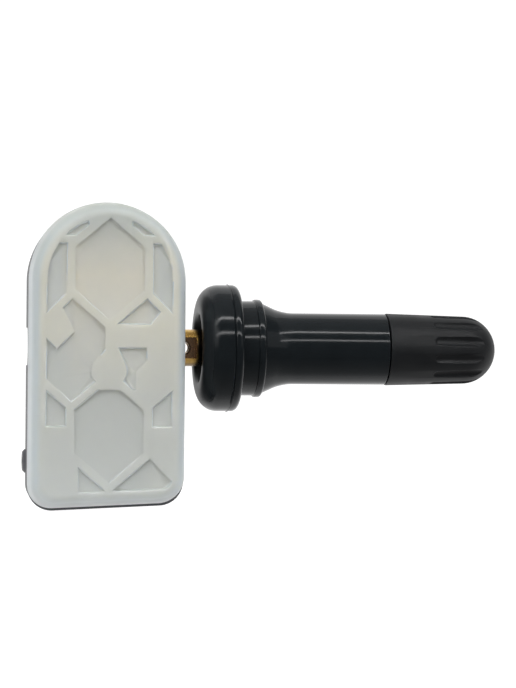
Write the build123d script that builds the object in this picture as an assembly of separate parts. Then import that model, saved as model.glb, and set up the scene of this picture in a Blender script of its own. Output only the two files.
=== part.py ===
from build123d import *
import os
from math import atan, cos, degrees, pi, radians, sin, tan

# Snap-in tyre pressure sensor: a welded plastic sensor case screwed to the tail of a rubber tyre valve.
# The origin is on the valve's axis, at the middle of the wheel's wall where it sits in the rim groove.
# +X runs along the valve to its cap, the lid faces -Y and +Z runs up the case. All sizes are millimetres.

# Rubber body, turned profile
groove_radius = 7.18
groove_width = 2.45
lip_x = 0.95
bulb_radius = 9.7
bulb_length = 6.0
bulb_nose_rounding = 3.0
bulb_nose_steps = 3
bulb_heel_chamfer = 0.75
recess_radius = 5.2
recess_depth = 3.4
lip_height = 0.24
cone_length = 4.8
rubber_radius = 5.4
rubber_length = 21.3

# Brass insert
thread_radius = 3.85
thread_length = 9.7
collar_length = 1.0
tail_radius = 2.8
tail_insertion = 4.2
tail_slot_height = 3.2
tail_web = 2.4
tail_slot_overrun = 1.5
tail_neck_length = 2.8
cross_hole_radius = 0.95
cross_hole_reach = 0.2
passage_radius = 0.8

# Valve core
core_bore_radius = 2.65
core_bore_depth = 7.2
core_seat_length = 1.2
core_chamber_radius = 1.95
core_chamber_length = 10.6
core_gap = 0.05
plug_setback = 0.8
plug_length = 5.6
plug_roof = 2.0
plug_tang = 2.0
plug_tang_length = 2.6
barrel_radius = 1.75
barrel_bore_radius = 1.25
barrel_length = 8.0
barrel_floor = 1.0
barrel_hole_radius = 0.8
gasket_lead = 0.2
gasket_length = 1.6
pin_radius = 0.5
pin_setback = 0.2
pin_shoulder_radius = 1.05
pin_shoulder_length = 0.5
pin_shoulder_setback = 0.7
washer_radius = 1.35
washer_length = 1.3
washer_gap = 0.03
pin_stub = 0.6
spring_radius = 0.86
spring_wire = 0.24
spring_turns = 5
spring_runs = 8

# Valve cap
cap_gap = 0.15
cap_mouth_radius = 5.5
cap_dome_radius = 5.15
cap_dome_steps = 4
cap_thread_gap = 0.1
cap_tip_thickness = 6.3
cap_tip_bore_radius = 2.4
cap_tip_bore_depth = 2.2
cap_mouth_chamfer = 0.35
seal_gap = 0.1
seal_length = 1.1
seal_hole_radius = 1.8
seal_side_gap = 0.05
flute_count = 12
flute_width = 1.5
flute_depth = 0.25
flute_start = 6.6
flute_slope = 2.6

# Sensor case, from the coin cell outwards
cell_radius = 10.0
cell_thickness = 3.2
cell_gap = 0.43
wall = 1.3
case_gap = 2.55
arch_height = 9.9
foot_depth = 23.7
foot_slope = 2.7
corner_radius = 3.7
lid_wall = 1.3
lid_draft = 5.0
lid_rounding = 1.9
lid_edge_steps = 2
case_draft = 3.0
case_drop = 0.35
case_back_chamfer = 1.0
pad_thickness = 0.3
pad_width = 9.0
pad_height = 12.0
pad_shift = 3.5
tab_room = 0.5
socket_gap = 0.05
socket_wall = 0.85
socket_side_wall = 1.1
board_drop = 1.6
board_thickness = 0.8
board_gap = 0.4
chip_height = 2.2
port_seal_length = 0.8
port_tower_height = 3.8
back_wall = 1.3

# Ribbed pattern of the lid, about the case's middle line
border = 2.5
rib = 1.52
pocket_depth = 0.45
pocket_draft = 28.0
cell_half_width = 5.06
cell_shoulder = 3.1
cell_apex = 7.4
upper_cell_rise = 1.75
lower_cell_rise = 11.2
lower_cell_trim = 6.05
upper_spoke_angle = 45.0
lower_spoke_angle = 41.0
shoulder_rib_rise = 4.3
crown_half_width = 3.4
side_pocket_foot = 0.9
left_triangle_edge = 4.4
island_top_x = 7.2
island_tip_x = 5.1
island_tip_z = 2.2
island_foot_x = 7.8
island_foot_z = -0.45
island_edge_z = 0.85
wedge_foot_z = 3.6
wedge_corner_x = 6.0
wedge_tip_x = 7.4
wedge_tip_z = 5.45
notch_wide_x = 5.4
notch_narrow_x = 3.85
notch_step_rise = 10.5
notch_foot_rise = 6.4
boss_radius = 2.75
boss_rise = 9.0
boss_neck_rise = 12.25
boss_neck_left = 0.75
boss_neck_right = 1.55

# Fixing screw
screw_radius = 1.2
screw_clearance = 0.15
screw_engagement = 3.0
screw_head_radius = 2.2
screw_head_length = 1.7
screw_web = 2.0
screw_channel_gap = 0.65
drive_radius = 1.35
drive_sides = 6
drive_depth = 1.1

# Pressure port on the case's side
port_rise = 6.4
port_boss_radius = 1.8
port_boss_height = 0.1
port_boss_chamfer = 0.35
port_hole_radius = 0.6
port_shaft_radius = 0.75
port_tower_radius = 2.3
port_tower_inset = 4.6
port_duct_depth = 2.1

# Electronics
tab_thickness = 0.25
tab_width = 3.0
tab_spread = 3.25
tab_reach = 6.0
tab_foot = 1.6
tab_gap = 0.45
chip_width = 6.0
chip_chamfer = 0.25
chip_port_depth = 0.7
port_seal_radius = 1.7
port_seal_hole = 0.85
coil_length = 7.4
coil_width = 2.6
coil_flange = 1.1
coil_neck = 1.5
winding_thickness = 0.42
crystal_length = 3.2
crystal_width = 2.5
crystal_height = 0.8
crystal_chamfer = 0.35
passive_length = 1.6
passive_width = 0.8
passive_height = 0.55
passive_columns = 4
passive_rows = 2
passive_pitch = 2.2
part_gap = 0.45
antenna_width = 1.2
antenna_thickness = 0.4
antenna_height = 2.6
antenna_inset = 1.6
post_width = 2.4
post_inset = 2.3
cell_ledge = 1.6
cell_rib_width = 1.2
cell_rib_count = 5
cell_rib_step = 36.0
cell_rib_start = 18.0

# Stations along the valve
seat_x = lip_x - groove_width
bulb_front_x = seat_x - bulb_length
recess_floor_x = bulb_front_x + recess_depth
mouth_x = rubber_length + thread_length
case_right_x = bulb_front_x - case_gap
tail_end_x = case_right_x - tail_insertion
cross_hole_x = case_right_x + cross_hole_reach
web_x = tail_end_x - screw_web
core_seat_x = mouth_x - core_bore_depth
core_chamber_x = core_seat_x - core_seat_length
core_floor_x = core_chamber_x - core_chamber_length
plug_top_x = mouth_x - plug_setback
plug_x = plug_top_x - plug_length
barrel_x = plug_x - barrel_length
shoulder_x = plug_x - pin_shoulder_setback - pin_shoulder_length
washer_x = barrel_x - washer_gap - washer_length
pin_end_x = washer_x - pin_stub
cap_mouth_x = rubber_length + cap_gap
seal_x = mouth_x + seal_gap
cap_floor_x = seal_x + seal_length
cap_tip_x = cap_floor_x + cap_tip_thickness
dome_x = cap_tip_x - cap_dome_radius

# Stations through the case's depth, from the valve's axis to the lid's face and to the back
socket_radius = tail_radius + socket_gap
channel_radius = screw_head_radius + screw_channel_gap
block_y = -(max(socket_radius, channel_radius) + socket_wall)
joint_y = block_y - tab_room
cell_front_y = joint_y - cell_thickness
lid_inner_y = cell_front_y - pad_thickness
lid_face_y = lid_inner_y - lid_wall
board_y = joint_y + board_drop
board_back_y = board_y + board_thickness
chip_back_y = board_back_y + chip_height
tower_y = chip_back_y + port_seal_length
floor_y = tower_y + port_tower_height
back_y = floor_y + back_wall
duct_y = tower_y + port_duct_depth

# Places across the case
case_half_width = cell_radius + cell_gap + wall
case_x = case_right_x - case_half_width
case_left_x = case_x - case_half_width
block_half = max(socket_radius, channel_radius) + socket_side_wall
board_top_z = -(block_half + board_gap)
antenna_half = case_half_width - wall - board_gap - antenna_inset
port_x = case_left_x + port_tower_inset
port_z = port_rise - foot_depth
upper_cell_z = arch_height + upper_cell_rise
lower_cell_z = lower_cell_rise - foot_depth
boss_z = lower_cell_z + boss_rise
boss_neck_z = lower_cell_z + boss_neck_rise


def face_plane(y):
    """Plane across the case at a depth, with X to the right, Z up and its normal towards the lid."""
    return Plane.XZ.offset(-y)


def rod(radius, start, end):
    """Round bar along the valve's axis."""
    bar = Cylinder(radius, end - start, align=(Align.CENTER, Align.CENTER, Align.MIN))
    return Pos(start, 0, 0) * Rot(0, 90, 0) * bar


def post(radius, x, z, front, back):
    """Round bar through the case's depth, between two depths."""
    return extrude(face_plane(back) * Pos(x, z) * Circle(radius), back - front)


def slab(width, height, x, z, front, back):
    """Plate that faces the lid, centred at a place and between two depths."""
    return extrude(face_plane(back) * Pos(x, z) * Rectangle(width, height), back - front)


def turned(*corners):
    """Solid of revolution about the valve's axis from (station, radius) corners."""
    return Part() + revolve(Face(Wire.make_polygon(corners)), Axis.X)


def rounding(x, r, radius, start, end, steps):
    """Corners along a rounding about a centre, between two angles, cut as short straight steps."""
    turn = (end - start) / steps
    angles = [radians(start + step * turn) for step in range(steps + 1)]
    return [(x + radius * cos(angle), r + radius * sin(angle)) for angle in angles]


def make_rubber_stem():
    """Bulb with its recess, rim groove, retaining cone and stem."""
    nose_x = bulb_front_x + bulb_nose_rounding
    return turned(
        (recess_floor_x, thread_radius),
        (rubber_length, thread_radius),
        (rubber_length, rubber_radius),
        (lip_x + cone_length, rubber_radius),
        (lip_x, groove_radius + lip_height),
        (lip_x, groove_radius),
        (seat_x, groove_radius),
        (seat_x, bulb_radius - bulb_heel_chamfer),
        (seat_x - bulb_heel_chamfer, bulb_radius),
        *rounding(nose_x, bulb_radius - bulb_nose_rounding, bulb_nose_rounding, 90, 180, bulb_nose_steps),
        (bulb_front_x, recess_radius),
        (recess_floor_x, recess_radius),
    )


def make_brass_insert():
    """Valve insert: slotted tail with its air hole, and the bonded barrel with its threaded mouth."""
    collar_x = recess_floor_x - collar_length
    blank = rod(tail_radius, tail_end_x, collar_x) + rod(thread_radius, collar_x, mouth_x)
    bores = turned(
        (cross_hole_x, 0),
        (cross_hole_x, passage_radius),
        (core_floor_x, passage_radius),
        (core_floor_x, core_chamber_radius),
        (core_chamber_x, core_chamber_radius),
        (core_seat_x, core_bore_radius),
        (mouth_x, core_bore_radius),
        (mouth_x, 0),
    )
    slot_start = cross_hole_x - cross_hole_radius - tail_slot_overrun
    slot_length = collar_x - tail_neck_length - slot_start
    slot_middle = slot_start + slot_length / 2
    slot = slab(slot_length, tail_slot_height, slot_middle, 0, -tail_radius, tail_radius)
    slot -= slab(slot_length, tail_slot_height, slot_middle, 0, -tail_web / 2, tail_web / 2)
    cross_hole = post(cross_hole_radius, cross_hole_x, 0, -tail_web / 2, tail_web / 2)
    screw_hole = rod(screw_radius, tail_end_x, tail_end_x + screw_engagement)
    return blank - bores - slot - cross_hole - screw_hole


def seat_radius(x):
    """Radius of the core's conical seat at a station."""
    share = (x - core_chamber_x) / core_seat_length
    return core_chamber_radius + share * (core_bore_radius - core_chamber_radius)


def make_core_body():
    """Valve core body: threaded plug with a tang and air windows, and the spring's tube below it."""
    radius = core_bore_radius - core_gap
    body = rod(radius, plug_x, plug_top_x) + rod(barrel_radius, barrel_x, plug_x)
    body -= rod(barrel_bore_radius, barrel_x + barrel_floor, plug_top_x - plug_roof)
    body -= rod(barrel_hole_radius, barrel_x, plug_top_x)
    tang_x = plug_top_x - plug_tang_length
    for side in (-1, 1):
        middle = side * (plug_tang / 2 + radius / 2)
        body -= slab(plug_tang_length, radius, (tang_x + plug_top_x) / 2, middle, -radius, radius)
    return body


def make_core_gasket():
    """Ring that seals the barrel on the conical seat."""
    start = core_chamber_x + gasket_lead
    seat_end = core_seat_x - gasket_lead
    return turned(
        (start, barrel_radius),
        (start, seat_radius(start)),
        (seat_end, seat_radius(seat_end)),
        (start + gasket_length, seat_radius(seat_end)),
        (start + gasket_length, barrel_radius),
    )


def make_core_pin():
    """Plunger pin with its spring shoulder; the washer is moulded on its lower end."""
    pin = rod(pin_radius, pin_end_x, mouth_x - pin_setback)
    return pin + rod(pin_shoulder_radius, shoulder_x, shoulder_x + pin_shoulder_length)


def make_core_washer():
    """Rubber washer that closes the barrel's lower end."""
    end = washer_x + washer_length
    return rod(washer_radius, washer_x, end) - rod(pin_radius, washer_x, end)


def make_core_spring():
    """Coil spring between the barrel's floor and the pin's shoulder, wound in short straight runs."""
    start = barrel_x + barrel_floor + spring_wire / 2
    length = shoulder_x - spring_wire / 2 - start
    count = spring_turns * spring_runs
    points = []
    for index in range(count + 1):
        angle = 2 * pi * index / spring_runs
        x = start + length * index / count
        points.append((x, spring_radius * cos(angle), spring_radius * sin(angle)))
    path = Polyline(*points)
    section = Plane(path @ 0, z_dir=path % 0) * Rectangle(spring_wire, spring_wire)
    return sweep(section, path=path, transition=Transition.RIGHT)


def make_cap():
    """Domed cap: plain skirt, flutes that deepen towards the dome, bore for the thread and a cored tip."""
    bore = thread_radius + cap_thread_gap
    core_x = cap_floor_x + cap_tip_bore_depth
    cap = turned(
        (cap_mouth_x, bore + cap_mouth_chamfer),
        (cap_mouth_x, cap_mouth_radius),
        *rounding(dome_x, 0, cap_dome_radius, 90, 0, cap_dome_steps)[:-1],
        (cap_tip_x, 0),
        (core_x, 0),
        (core_x, cap_tip_bore_radius),
        (cap_floor_x, cap_tip_bore_radius),
        (cap_floor_x, bore),
        (cap_mouth_x + cap_mouth_chamfer, bore),
    )
    skirt_slope = (cap_mouth_radius - cap_dome_radius) / (dome_x - cap_mouth_x)
    start_x = cap_mouth_x + flute_start
    start_radius = cap_mouth_radius - flute_start * skirt_slope
    tilt = degrees(atan(skirt_slope)) + flute_slope
    spread = flute_width / 2 / flute_depth
    corners = [(0, -flute_depth), (spread, 1 - flute_depth), (-spread, 1 - flute_depth)]
    cutter = extrude(Plane.YZ * Polygon(*corners, align=None), cap_tip_x - start_x)
    cutter = Pos(start_x, 0, start_radius) * Rot(0, tilt, 0) * cutter
    for index in range(flute_count):
        cap -= Rot((index + 0.5) * 360 / flute_count, 0, 0) * cutter
    return cap


def make_cap_seal():
    """Rubber ring in the cap that meets the valve's mouth."""
    radius = thread_radius + cap_thread_gap - seal_side_gap
    return rod(radius, seal_x, cap_floor_x) - rod(seal_hole_radius, seal_x, cap_floor_x)


def case_outline(grow=0.0, drop=0.0):
    """Outline of the case: arched top, straight sides and a sloping foot with round corners."""
    half = case_half_width + grow
    radius = corner_radius + grow
    reach = half - radius
    slope = radians(foot_slope)
    foot = -(foot_depth + grow + drop) + radius / cos(slope)
    rise = reach * tan(slope)
    left = CenterArc((case_x - reach, foot - rise), radius, 180, 90 + foot_slope)
    right = CenterArc((case_x + reach, foot + rise), radius, 270 + foot_slope, 90 - foot_slope)
    arches = [CenterArc((case_x, arch_height), half, start, 90) for start in (0, 90)]
    lines = [
        Line((case_x - half, arch_height), left @ 0),
        Line(left @ 1, right @ 0),
        Line(right @ 1, (case_x + half, arch_height)),
    ]
    return make_face([left, right, *arches, *lines])


def case_layer(front, back, front_grow, back_grow, drop=0.0):
    """Slice of the case between two depths, its outline grown by a set amount at each."""
    draft = degrees(atan((back_grow - front_grow) / (back - front)))
    return extrude(face_plane(back) * case_outline(back_grow, drop), back - front, taper=draft)


def case_shrink(y):
    """How far the housing's sides have drawn in at a depth behind the lid joint."""
    return (y - joint_y) * tan(radians(case_draft))


def lid_cell(height):
    """Six-sided cell of the lid's pattern at a height on the middle line."""
    right = [(cell_half_width, -cell_shoulder), (cell_half_width, cell_shoulder), (0, cell_apex)]
    left = [(-x, -z) for x, z in right]
    return Pos(0, height) * Polygon(*right, *left, align=None)


def spoke(x, z, angle):
    """Straight rib from a corner of a cell outwards past the border."""
    reach = 2 * case_half_width
    return Pos(x, z) * Rot(0, 0, angle) * Pos(reach / 2, 0) * Rectangle(reach, rib)


def lid_ribs():
    """Ribs of the pattern: a rim round each cell, spokes to the border, the middle rib and its boss."""
    upper_corner_z = upper_cell_z - cell_shoulder
    lower_corner_z = lower_cell_z + cell_shoulder
    ribs = offset(lid_cell(upper_cell_z), rib, kind=Kind.INTERSECTION)
    ribs += offset(lid_cell(lower_cell_z), rib, kind=Kind.INTERSECTION)
    for side in (-1, 1):
        outward = 90 - side * 90
        ribs += spoke(side * cell_half_width, upper_corner_z, outward - side * upper_spoke_angle)
        ribs += spoke(side * cell_half_width, lower_corner_z, outward + side * lower_spoke_angle)
        ribs += spoke(side * cell_half_width, upper_cell_z + shoulder_rib_rise, outward)
    middle_top = upper_cell_z - cell_apex
    middle_foot = lower_cell_z + lower_cell_trim
    ribs += Pos(0, (middle_top + middle_foot) / 2) * Rectangle(rib, middle_top - middle_foot)
    ribs += Pos(0, boss_z) * Circle(boss_radius)
    flank = boss_radius * cos(radians(lower_spoke_angle / 2))
    flank_z = boss_z + boss_radius * sin(radians(lower_spoke_angle / 2))
    ribs += Polygon(
        (-boss_neck_left, boss_neck_z),
        (boss_neck_right, boss_neck_z),
        (flank, flank_z),
        (0, boss_z),
        (-flank, flank_z),
        align=None,
    )
    return ribs


def lid_lands():
    """Plain raised fields of the pattern: crown, left island, right field and both lower corners."""
    upper_corner_z = upper_cell_z - cell_shoulder
    lower_corner_z = lower_cell_z + cell_shoulder
    reach = case_half_width - cell_half_width
    upper_end_z = upper_corner_z - reach * tan(radians(upper_spoke_angle))
    lower_end_z = lower_corner_z + reach * tan(radians(lower_spoke_angle))
    side_foot_z = lower_cell_z + side_pocket_foot
    bottom_z = -(foot_depth + case_half_width)
    crown_z = upper_cell_z + shoulder_rib_rise
    crown_height = arch_height + case_half_width - crown_z
    lands = Pos(0, crown_z + crown_height / 2) * Rectangle(2 * crown_half_width, crown_height)
    lands += Polygon(
        (0, upper_cell_z - cell_apex),
        (cell_half_width, upper_corner_z),
        (case_half_width, upper_end_z),
        (case_half_width, lower_end_z),
        (cell_half_width, lower_corner_z),
        (0, lower_cell_z + lower_cell_trim),
        align=None,
    )
    lands += Polygon(
        (-island_top_x, upper_corner_z - (island_top_x - cell_half_width) * tan(radians(upper_spoke_angle))),
        (-island_tip_x, island_tip_z),
        (-island_foot_x, island_foot_z),
        (-(case_half_width - border), island_edge_z),
        (-case_half_width, island_edge_z),
        (-case_half_width, upper_end_z),
        align=None,
    )
    lands += Polygon(
        (-case_half_width, side_foot_z),
        (-cell_half_width, side_foot_z),
        (-cell_half_width, lower_cell_z - cell_shoulder),
        (-left_triangle_edge, lower_cell_z - cell_shoulder),
        (-left_triangle_edge, bottom_z),
        (-case_half_width, bottom_z),
        align=None,
    )
    lands += Polygon(
        (case_half_width, side_foot_z),
        (cell_half_width, side_foot_z),
        (cell_half_width, lower_cell_z - cell_shoulder),
        (cell_half_width + rib / 2, lower_cell_z - cell_shoulder - rib / 2),
        (case_half_width, lower_cell_z - cell_shoulder - reach),
        align=None,
    )
    return lands


def lid_right_pockets():
    """Two pockets sunk in the right field: one under the upper cell and the notch beside the boss."""
    wedge = Polygon(
        (0, wedge_foot_z),
        (wedge_corner_x, wedge_foot_z),
        (wedge_tip_x, wedge_tip_z),
        (cell_half_width, upper_cell_z - cell_shoulder),
        (0, upper_cell_z - cell_shoulder),
        align=None,
    )
    step_z = lower_cell_z + notch_step_rise
    foot_z = lower_cell_z + notch_foot_rise
    notch = Polygon(
        (0, foot_z),
        (notch_narrow_x, foot_z),
        (notch_narrow_x, step_z - (notch_wide_x - notch_narrow_x)),
        (notch_wide_x, step_z),
        (notch_wide_x, boss_neck_z),
        (0, boss_neck_z),
        align=None,
    )
    return wedge + notch


def lid_pockets():
    """Floors of the pockets in the lid's face."""
    field = Pos(-case_x, 0) * case_outline(-border)
    ribs = lid_ribs()
    trim_z = lower_cell_z + lower_cell_trim
    trimmed = Pos(0, trim_z + cell_apex / 2) * Rectangle(2 * cell_half_width, cell_apex)
    pockets = field - ribs - lid_lands()
    pockets += lid_right_pockets() - ribs
    pockets += lid_cell(upper_cell_z)
    pockets += lid_cell(lower_cell_z) - trimmed
    return pockets.faces()


def make_lid():
    """Welded lid: a shallow tray with a rounded front edge and the ribbed pattern sunk in its face."""
    shoulder_y = lid_face_y + lid_rounding
    shoulder_grow = -(joint_y - shoulder_y) * tan(radians(lid_draft))
    lid = case_layer(shoulder_y, joint_y, shoulder_grow, 0)
    steps = rounding(shoulder_y, shoulder_grow - lid_rounding, lid_rounding, 90, 180, lid_edge_steps)
    for (back, back_grow), (front, front_grow) in zip(steps, steps[1:]):
        lid += case_layer(front, back, front_grow, back_grow)
    lid -= extrude(face_plane(joint_y) * case_outline(-wall), joint_y - lid_inner_y)
    pocket_plane = face_plane(lid_face_y + pocket_depth)
    for pocket in lid_pockets():
        lid -= extrude(pocket_plane * Pos(case_x, 0) * pocket, pocket_depth, taper=-pocket_draft)
    return lid


def board_outline(grow=0.0):
    """Outline of the circuit board, which follows the lower case."""
    height = foot_depth + case_half_width
    below = Pos(case_x, board_top_z - height / 2) * Rectangle(2 * case_half_width, height)
    return case_outline(-(wall + board_gap) + grow) & below


def post_places():
    """Places of the three posts that carry the board; the port's tower is its fourth support."""
    half = case_half_width - wall - board_gap - post_inset
    top = board_top_z - post_inset
    foot = -(foot_depth - wall - board_gap - post_inset) + half * tan(radians(foot_slope))
    return [(case_x - half, top), (case_x + half, top), (case_x + half, foot)]


def case_cavity():
    """Space inside the case, less what stands in it: socket block, cell ribs, posts and port tower."""
    cavity = extrude(face_plane(floor_y) * case_outline(-wall), floor_y - joint_y)
    cavity -= slab(2 * case_half_width, 2 * block_half, case_x, 0, block_y, floor_y)
    ledge = Pos(cell_radius - cell_ledge + cell_radius / 2, 0) * Rectangle(cell_radius, cell_rib_width)
    rib_plane = face_plane(floor_y) * Pos(case_x, arch_height)
    for index in range(cell_rib_count):
        angle = cell_rib_start + index * cell_rib_step
        cavity -= extrude(rib_plane * Rot(0, 0, angle) * ledge, floor_y - joint_y)
    for x, z in post_places():
        cavity -= slab(post_width, post_width, x, z, board_back_y, floor_y)
    cavity -= post(port_tower_radius, port_x, port_z, tower_y, floor_y)
    duct_x = port_x - port_tower_inset / 2
    return cavity - slab(port_tower_inset, 2 * port_boss_radius, duct_x, port_z, tower_y, floor_y)


def make_housing():
    """Black tray that holds the works: valve socket, screw channel, pressure port and its boss."""
    edge_y = back_y - case_back_chamfer
    edge_grow = -case_shrink(edge_y)
    body = case_layer(joint_y, edge_y, 0, edge_grow, case_drop)
    body += case_layer(edge_y, back_y, edge_grow, edge_grow - case_back_chamfer, case_drop)
    boss_x = case_left_x - port_boss_height
    boss = rod(port_boss_radius, boss_x, port_x)
    boss = chamfer(boss.edges().sort_by(Axis.X)[0], port_boss_chamfer)
    body += Pos(0, duct_y, port_z) * boss
    body -= case_cavity()
    body -= rod(socket_radius, tail_end_x, case_right_x)
    body -= rod(screw_radius + screw_clearance, web_x, tail_end_x)
    channel = rod(channel_radius, case_left_x, web_x)
    middle = (case_left_x + web_x) / 2
    channel += slab(web_x - case_left_x, 2 * channel_radius, middle, 0, 0, back_y)
    body -= channel
    body -= post(port_shaft_radius, port_x, port_z, tower_y, duct_y)
    return body - Pos(0, duct_y, port_z) * rod(port_hole_radius, boss_x, port_x + port_hole_radius)


def make_fixing_screw():
    """Screw that holds the valve's tail in the case, with a hexagon drive."""
    head_x = web_x - screw_head_length
    screw = rod(screw_head_radius, head_x, web_x)
    screw += rod(screw_radius, web_x, tail_end_x + screw_engagement)
    drive = RegularPolygon(drive_radius, drive_sides)
    return screw - extrude(Plane.YZ.offset(head_x) * drive, drive_depth)


def make_battery_cell():
    """Coin cell, flat on the ribs of the case."""
    return post(cell_radius, case_x, arch_height, cell_front_y, joint_y)


def make_battery_pad():
    """Foam pad between the cell and the lid, beside the positive tab."""
    return slab(pad_width, pad_height, case_x + pad_shift, arch_height, lid_inner_y, cell_front_y)


def bent_tab(x, *route):
    """Strip of sheet metal of the tab's width along a square (depth, height) route."""
    sheet = Sketch()
    for (y, z), (next_y, next_z) in zip(route, route[1:]):
        run = Rectangle(abs(next_y - y) + tab_thickness, abs(next_z - z) + tab_thickness)
        sheet += Pos((y + next_y) / 2, (z + next_z) / 2) * run
    return extrude(Plane.YZ.offset(x - tab_width / 2) * sheet, tab_width)


def make_battery_tab_positive():
    """Strip from the cell's front, round its lower edge and over the socket block to the board."""
    half = tab_thickness / 2
    front = cell_front_y - half
    over = joint_y - tab_thickness
    edge_z = arch_height - cell_radius - tab_gap - tab_thickness
    foot_z = board_top_z - tab_gap - tab_thickness
    return bent_tab(
        case_x - tab_spread,
        (front, tab_reach),
        (front, edge_z),
        (over, edge_z),
        (over, foot_z),
        (board_y - half, foot_z),
        (board_y - half, foot_z - tab_foot),
    )


def make_battery_tab_negative():
    """Strip from the cell's back over the socket block to the board."""
    half = tab_thickness / 2
    back = joint_y + half
    foot_z = board_top_z - tab_gap - tab_thickness
    return bent_tab(
        case_x + tab_spread,
        (back, tab_reach),
        (back, foot_z),
        (board_y - half, foot_z),
        (board_y - half, foot_z - tab_foot),
    )


def make_circuit_board():
    """Board on the posts of the lower case."""
    return extrude(face_plane(board_back_y) * board_outline(), board_thickness)


def make_sensor_chip():
    """Pressure sensor package on the board's back, with its port over the seal."""
    chip = slab(chip_width, chip_width, port_x, port_z, board_back_y, chip_back_y)
    chip = chamfer(chip.faces().sort_by(Axis.Y)[-1].edges(), chip_chamfer)
    return chip - post(port_shaft_radius, port_x, port_z, chip_back_y - chip_port_depth, chip_back_y)


def make_port_seal():
    """Silicone ring between the sensor's port and the tower."""
    ring = post(port_seal_radius, port_x, port_z, chip_back_y, tower_y)
    return ring - post(port_seal_hole, port_x, port_z, chip_back_y, tower_y)


def coil_place():
    """Middle of the receiving coil on the board's front."""
    return case_x + coil_length / 2, port_z + coil_width


def make_coil_core():
    """Ferrite bobbin of the receiving coil, flanged at both ends."""
    x, z = coil_place()
    core = slab(coil_width, coil_length, x, z, board_y - coil_width, board_y)
    inner = coil_length - 2 * coil_flange
    middle_y = board_y - coil_width / 2
    cut = slab(coil_width, inner, x, z, board_y - coil_width, board_y)
    return core - (cut - slab(coil_neck, inner, x, z, middle_y - coil_neck / 2, middle_y + coil_neck / 2))


def make_coil_winding():
    """Wire winding round the bobbin's neck."""
    x, z = coil_place()
    inner = coil_length - 2 * coil_flange
    middle_y = board_y - coil_width / 2
    outer = coil_neck + 2 * winding_thickness
    winding = slab(outer, inner, x, z, middle_y - outer / 2, middle_y + outer / 2)
    return winding - slab(coil_neck, inner, x, z, middle_y - coil_neck / 2, middle_y + coil_neck / 2)


def make_crystal():
    """Metal can of the clock crystal."""
    x = case_x - coil_length / 2
    can = slab(crystal_length, crystal_width, x, port_z, board_y - crystal_height, board_y)
    return chamfer(can.edges().filter_by(Axis.Y), crystal_chamfer)


def make_chip_components():
    """Small chip resistors and capacitors in rows on the board's front."""
    chips = Part()
    start_x = case_x - antenna_half + (antenna_width + passive_width) / 2 + part_gap
    start_z = port_z + (crystal_width + passive_length) / 2 + part_gap
    for column in range(passive_columns):
        for row in range(passive_rows):
            x = start_x + column * passive_pitch
            z = start_z + row * passive_pitch
            chips += slab(passive_width, passive_length, x, z, board_y - passive_height, board_y)
    return chips


def make_antenna():
    """Stamped loop that stands on two legs over the board and runs round the lower case."""
    half = antenna_half
    top = board_top_z - 2 * post_inset - antenna_inset
    foot = -(foot_depth - wall - board_gap - antenna_inset) + half * tan(radians(foot_slope))
    level = board_y - antenna_height
    back = level + antenna_thickness
    antenna = slab(2 * half + antenna_width, antenna_width, case_x, foot, level, back)
    for side in (-1, 1):
        x = case_x + side * half
        antenna += slab(antenna_width, top - foot, x, (top + foot) / 2, level, back)
        antenna += slab(antenna_width, antenna_thickness, x, top - antenna_thickness / 2, level, board_y)
    return antenna


makers = {
    "housing": make_housing,
    "lid": make_lid,
    "circuit_board": make_circuit_board,
    "battery_cell": make_battery_cell,
    "battery_pad": make_battery_pad,
    "battery_tab_positive": make_battery_tab_positive,
    "battery_tab_negative": make_battery_tab_negative,
    "sensor_chip": make_sensor_chip,
    "port_seal": make_port_seal,
    "coil_core": make_coil_core,
    "coil_winding": make_coil_winding,
    "crystal": make_crystal,
    "chip_components": make_chip_components,
    "antenna": make_antenna,
    "fixing_screw": make_fixing_screw,
    "brass_insert": make_brass_insert,
    "rubber_stem": make_rubber_stem,
    "core_body": make_core_body,
    "core_gasket": make_core_gasket,
    "core_pin": make_core_pin,
    "core_washer": make_core_washer,
    "core_spring": make_core_spring,
    "cap": make_cap,
    "cap_seal": make_cap_seal,
}

os.makedirs("parts", exist_ok=True)
for name, make in makers.items():
    export_step(make(), f"parts/{name}.step")
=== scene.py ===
import math
import bpy
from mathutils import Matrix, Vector


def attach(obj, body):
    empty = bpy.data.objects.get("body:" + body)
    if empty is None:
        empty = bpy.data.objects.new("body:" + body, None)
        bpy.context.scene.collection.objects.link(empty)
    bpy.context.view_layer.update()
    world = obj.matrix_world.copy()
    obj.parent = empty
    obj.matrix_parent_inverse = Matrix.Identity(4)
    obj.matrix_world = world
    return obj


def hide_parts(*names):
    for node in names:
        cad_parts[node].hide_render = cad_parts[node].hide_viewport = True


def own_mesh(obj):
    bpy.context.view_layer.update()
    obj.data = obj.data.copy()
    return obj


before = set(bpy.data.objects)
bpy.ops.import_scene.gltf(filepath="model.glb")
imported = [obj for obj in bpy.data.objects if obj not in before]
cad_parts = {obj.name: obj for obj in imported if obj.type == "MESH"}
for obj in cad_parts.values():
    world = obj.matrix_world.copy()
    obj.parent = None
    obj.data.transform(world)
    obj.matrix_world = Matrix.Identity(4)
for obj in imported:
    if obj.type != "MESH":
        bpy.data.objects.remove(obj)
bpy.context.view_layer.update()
mm = 0.001


# picking and shaping

def leaveEditing():
    if bpy.context.object and bpy.context.object.mode != "OBJECT":
        bpy.ops.object.mode_set(mode="OBJECT")
    bpy.ops.object.select_all(action="DESELECT")


def pickObject(piece):
    leaveEditing()
    piece.select_set(True)
    bpy.context.view_layer.objects.active = piece


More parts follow.
